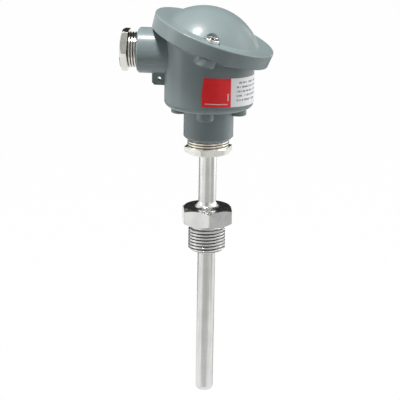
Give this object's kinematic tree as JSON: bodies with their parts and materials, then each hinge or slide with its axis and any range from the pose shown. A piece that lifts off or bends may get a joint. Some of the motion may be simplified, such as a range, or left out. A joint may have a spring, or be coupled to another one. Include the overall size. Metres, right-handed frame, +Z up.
{
  "type": "resistance temperature probe with connection head",
  "caption": "Temperature probe: a steel stem with a screwed process fitting carries a painted connection head with a sloping domed lid and a side cable gland.",
  "frame": {"origin": "centre of the sealing face under the process hexagon, on the stem's axis", "axes": "+Z up the stem towards the head, -X along the cable entry, so that the lid slopes down towards +X"},
  "size_m": [0.0847, 0.0694, 0.2247],
  "materials": {
    "head_paint": "glossy blue grey enamel on an aluminium casting",
    "black_rubber": "matt",
    "nickel": "bright plated",
    "nickel_brass": "nickel plated brass, warm tint",
    "steel": "turned and drawn stainless steel",
    "label_film": "printed film, red and white",
    "white_ceramic": "unglazed",
    "brass": "machined",
    "brass_screw": "machined",
    "spring_steel": "drawn wire",
    "wire_cover": "smooth sleeve"
  },
  "bodies": {
    "head": {"head_body": "head_paint", "head_entry": "head_paint", "gland_seal": "black_rubber", "head_label": "label_film", "neck_fitting": "nickel_brass", "protection_tube": "steel", "extension_tube": "steel", "tube_tip": "steel", "process_connection": "steel", "insert_screws": "steel", "insert_springs": "spring_steel"},
    "lid": {"lid": "head_paint", "lid_gasket": "black_rubber"},
    "front_lid_screw": {"front_lid_screw": "nickel"},
    "rear_lid_screw": {"rear_lid_screw": "nickel"},
    "gland_ring": {"gland_ring": "steel"},
    "gland_screw": {"gland_screw": "nickel_brass"},
    "insert": {"insert_plate": "steel", "insert_sheath": "steel", "terminal_block": "white_ceramic", "terminal_clamps": "brass", "terminal_screws": "brass_screw", "lead_wires": "wire_cover"}
  },
  "joints": [
    {"name": "lid_lift", "type": "slide", "parent": "head", "child": "lid", "axis": [0.3206, 0, 0.9472], "range_m": [0, 0.045]},
    {"name": "front_screw_turn", "type": "hinge", "parent": "lid", "child": "front_lid_screw", "pos_m": [0.00413, -0.0277, 0.11025], "axis": [0.3206, 0, 0.9472], "continuous": true},
    {"name": "rear_screw_turn", "type": "hinge", "parent": "lid", "child": "rear_lid_screw", "pos_m": [0.00413, 0.0277, 0.11025], "axis": [0.3206, 0, 0.9472], "continuous": true},
    {"name": "gland_ring_slide", "type": "slide", "parent": "head", "child": "gland_ring", "axis": [-1, 0, 0], "range_m": [0, 0.003]},
    {"name": "gland_turn", "type": "hinge", "parent": "gland_ring", "child": "gland_screw", "pos_m": [-0.045, 0, 0.0986], "axis": [-1, 0, 0], "range_deg": [0, 720]},
    {"name": "insert_travel", "type": "slide", "parent": "head", "child": "insert", "axis": [0, 0, 1], "range_m": [0, 0.003], "stiffness_N_per_m": 1500, "springref_m": -0.003, "deforming": ["insert_springs"]}
  ],
  "couplings": [
    {"joint": "gland_turn", "follows": "gland_ring_slide", "rad_per_m": 4188.8}
  ]
}
